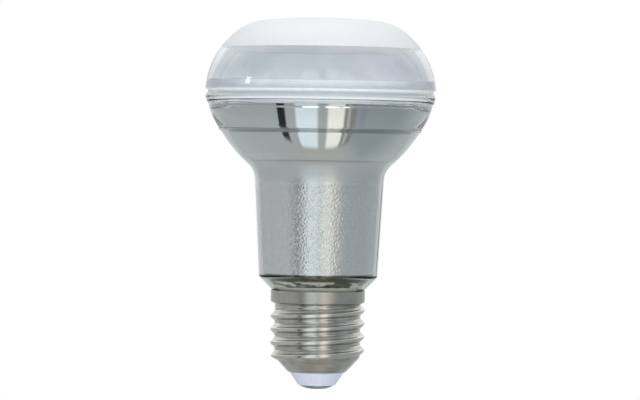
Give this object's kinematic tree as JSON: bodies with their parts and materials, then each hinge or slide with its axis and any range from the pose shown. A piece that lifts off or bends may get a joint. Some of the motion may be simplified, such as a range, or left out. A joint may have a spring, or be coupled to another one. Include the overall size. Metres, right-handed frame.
{
  "type": "reflector bulb",
  "caption": "Reflector lamp with a silvered glass body, a frosted front cover with a clear side band, and a nickelled screw cap.",
  "frame": {"origin": "tip of the centre contact, on the lamp's axis", "axes": "+Z along the lamp's axis from the contact to the crown of the cover; +X along the width of the driver board; +Y out of the board's front"},
  "size_m": [0.063, 0.063, 0.101],
  "materials": {
    "contact_metal": "dull tinned face",
    "insulator_white": "glossy fused white",
    "shell_nickel": "nickel-plated brass, bright with fine roll marks",
    "cement_grey": "matte set cement",
    "silvered_glass": "clear glass silvered behind, grained on the neck",
    "cover_glass": "clear side band, satin frosted crown",
    "sealant_clear": "milky clear silicone",
    "sleeve_plastic": "white moulded",
    "plate_aluminium": "pressed, satin",
    "led_board_white": "white solder mask on aluminium",
    "led_phosphor": "white package with a yellow window",
    "screw_steel": "zinc plated",
    "driver_board_green": "green solder mask",
    "can_black": "printed sleeve on an aluminium can",
    "ferrite_grey": "ferrite with lacquered copper winding",
    "film_yellow": "potted box",
    "resistor_body": "lacquered",
    "chip_black": "moulded epoxy",
    "pin_tin": "tinned",
    "wire_tinned": "tinned copper"
  },
  "bodies": {
    "root": {"centre_contact": "contact_metal", "insulator": "insulator_white", "screw_shell": "shell_nickel", "cap_cement": "cement_grey", "reflector_body": "silvered_glass", "front_cover": "cover_glass", "cover_sealant": "sealant_clear", "driver_sleeve": "sleeve_plastic", "heat_spreader": "plate_aluminium", "led_board": "led_board_white", "led_packages": "led_phosphor", "board_screws": "screw_steel", "driver_board": "driver_board_green", "electrolytic_capacitor": "can_black", "inductor": "ferrite_grey", "film_capacitor": "film_yellow", "fuse_resistor": "resistor_body", "driver_chip": "chip_black", "bridge_rectifier": "chip_black", "output_pins": "pin_tin", "live_lead": "wire_tinned", "neutral_lead": "wire_tinned"}
  },
  "joints": []
}
